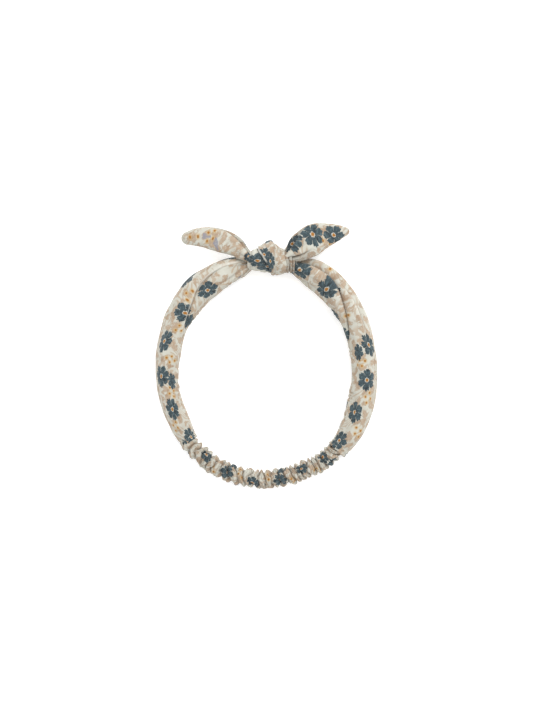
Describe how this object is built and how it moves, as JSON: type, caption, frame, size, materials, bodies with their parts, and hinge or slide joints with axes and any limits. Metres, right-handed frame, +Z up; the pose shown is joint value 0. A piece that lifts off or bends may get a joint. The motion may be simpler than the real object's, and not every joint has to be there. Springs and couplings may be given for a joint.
{
  "type": "knotted headband",
  "caption": "Soft child's headband: a padded cotton loop tied in a knot with two leaf-shaped tails, and a gathered elastic section at the back.",
  "frame": {"origin": "on the table, under the middle of the headband's box as it lies flat", "axes": "+Z up from the table, +Y from the gathered elastic towards the knot, +X to the wearer's left tail"},
  "size_m": [0.1505, 0.1792, 0.0225],
  "materials": {
    "printed_cotton": "matte",
    "thread": "matte",
    "elastic": "matte"
  },
  "bodies": {
    "knot": {"knot_wrap": "printed_cotton", "knot_side_turn": "printed_cotton", "knot_core": "printed_cotton", "elastic_casing": "printed_cotton", "elastic_strip": "elastic"},
    "left_strap": {"left_strap": "printed_cotton", "left_strap_seam": "thread", "left_join_stitching": "thread", "left_elastic_tack": "thread"},
    "right_strap": {"right_strap": "printed_cotton", "right_strap_seam": "thread", "right_join_stitching": "thread", "right_elastic_tack": "thread"},
    "left_tail": {"left_tail": "printed_cotton", "left_tail_seam": "thread"},
    "right_tail": {"right_tail": "printed_cotton", "right_tail_seam": "thread"}
  },
  "joints": [
    {"name": "left_stretch", "type": "hinge", "parent": "knot", "child": "left_strap", "pos_m": [-0.0126, 0.06128, 0.0076], "axis": [0, 0, 1], "range_deg": [-11, 0], "stiffness_Nm_per_rad": 0.4, "deforming": ["elastic_casing", "elastic_strip"]},
    {"name": "right_stretch", "type": "hinge", "parent": "knot", "child": "right_strap", "pos_m": [0.01887, 0.06114, 0.0076], "axis": [0, 0, 1], "range_deg": [0, 11], "stiffness_Nm_per_rad": 0.4, "deforming": ["elastic_casing", "elastic_strip"]},
    {"name": "left_tail_lift", "type": "hinge", "parent": "knot", "child": "left_tail", "pos_m": [-0.01335, 0.06712, 0.01583], "axis": [0.5752, 0.818, 0], "range_deg": [0, 60], "stiffness_Nm_per_rad": 0.004},
    {"name": "right_tail_lift", "type": "hinge", "parent": "knot", "child": "right_tail", "pos_m": [0.01814, 0.0678, 0.01613], "axis": [0.5328, -0.8463, 0], "range_deg": [0, 60], "stiffness_Nm_per_rad": 0.004}
  ],
  "couplings": [
    {"joint": "right_stretch", "follows": "left_stretch", "ratio": -1}
  ]
}
